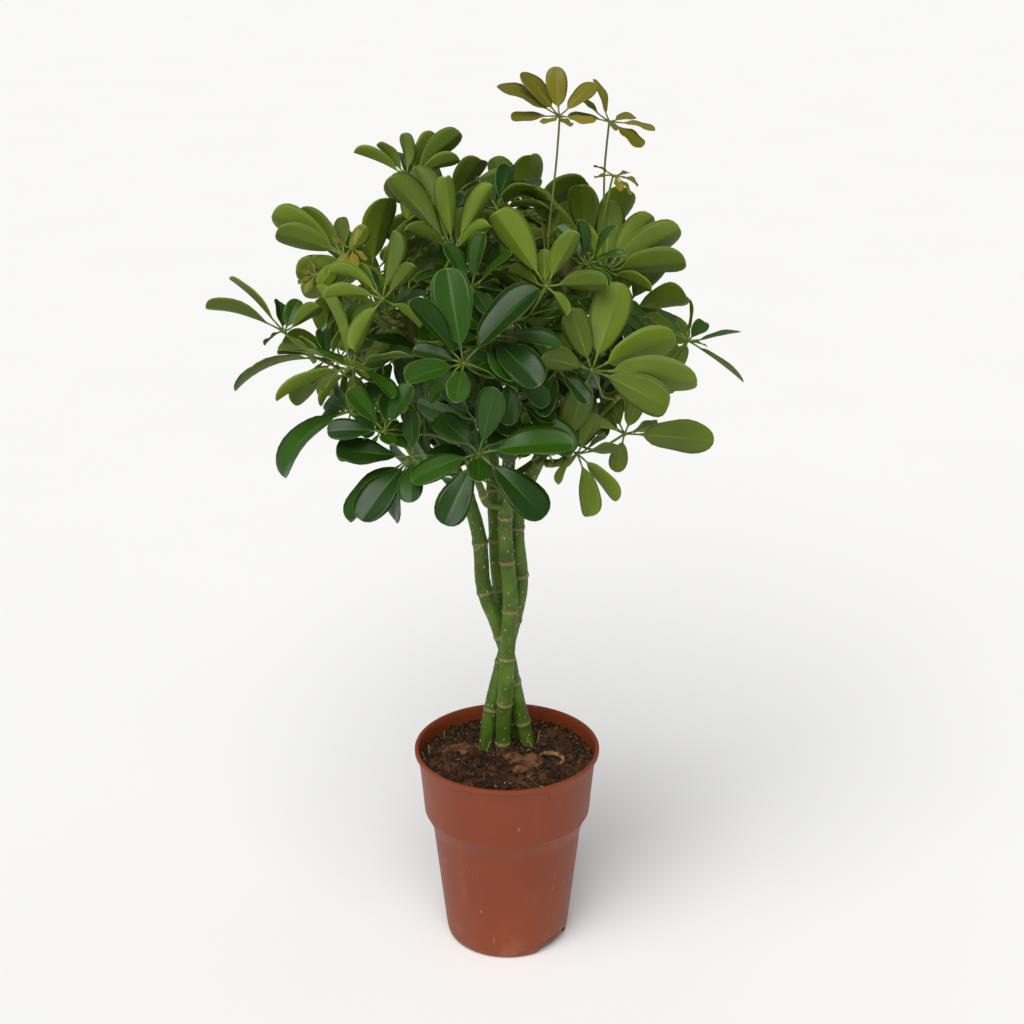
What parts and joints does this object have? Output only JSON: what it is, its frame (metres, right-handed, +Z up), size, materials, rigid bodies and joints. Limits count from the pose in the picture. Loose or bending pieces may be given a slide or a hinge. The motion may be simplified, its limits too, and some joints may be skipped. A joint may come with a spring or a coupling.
{
  "type": "potted umbrella tree",
  "caption": "Umbrella tree standing in a round plastic nursery pot: braided bare stems carry a loose crown of hand-shaped glossy leaves with paler young leaves at the top.",
  "frame": {"origin": "on the surface the pot stands on, in the middle of the pot's underside", "axes": "+Z up along the pot's axis, -Y towards the front of the plant, +X to its right"},
  "size_m": [0.4471, 0.37, 0.8062],
  "materials": {
    "pot": "satin terracotta-coloured polypropylene with faint scuffs",
    "soil": "moist dark peat with coir fibre and perlite",
    "stem": "smooth green bark with tan leaf-scar rings and pale dots",
    "leaf": "glossy dark green above, dull olive green below, with a pale rim and midrib",
    "young_leaf": "soft satin olive bronze with purple-brown stalks"
  },
  "bodies": {
    "root": {"branch_back_left": "stem", "branch_back_right": "stem", "branch_front_low": "stem", "branch_left_back": "stem", "branch_left_low": "stem", "branch_right_back": "stem", "branch_right_low": "stem", "leaf_01": "leaf", "leaf_02": "leaf", "leaf_03": "leaf", "leaf_04": "leaf", "leaf_05": "leaf", "leaf_06": "leaf", "leaf_07": "leaf", "leaf_08": "leaf", "leaf_09": "leaf", "leaf_10": "leaf", "leaf_11": "leaf", "leaf_12": "leaf", "leaf_13": "leaf", "leaf_14": "leaf", "leaf_15": "leaf", "leaf_16": "leaf", "leaf_17": "leaf", "leaf_18": "leaf", "leaf_19": "leaf", "leaf_20": "leaf", "leaf_21": "leaf", "leaf_22": "leaf", "leaf_23": "leaf", "leaf_24": "leaf", "leaf_25": "leaf", "leaf_26": "leaf", "leaf_27": "leaf", "leaf_28": "leaf", "leaf_29": "leaf", "leaf_30": "leaf", "leaf_31": "leaf", "leaf_32": "leaf", "leaf_33": "leaf", "leaf_34": "leaf", "leaf_35": "leaf", "leaf_36": "leaf", "leaf_37": "leaf", "leaf_38": "leaf", "leaf_39": "leaf", "leaf_40": "leaf", "leaf_41": "leaf", "pot": "pot", "soil": "soil", "stem_back": "stem", "stem_front": "stem", "stem_left": "stem", "stem_right": "stem", "young_leaf_1": "young_leaf", "young_leaf_2": "young_leaf", "young_leaf_3": "young_leaf", "young_leaf_4": "young_leaf", "young_leaf_5": "young_leaf", "young_leaf_6": "young_leaf"}
  },
  "joints": []
}
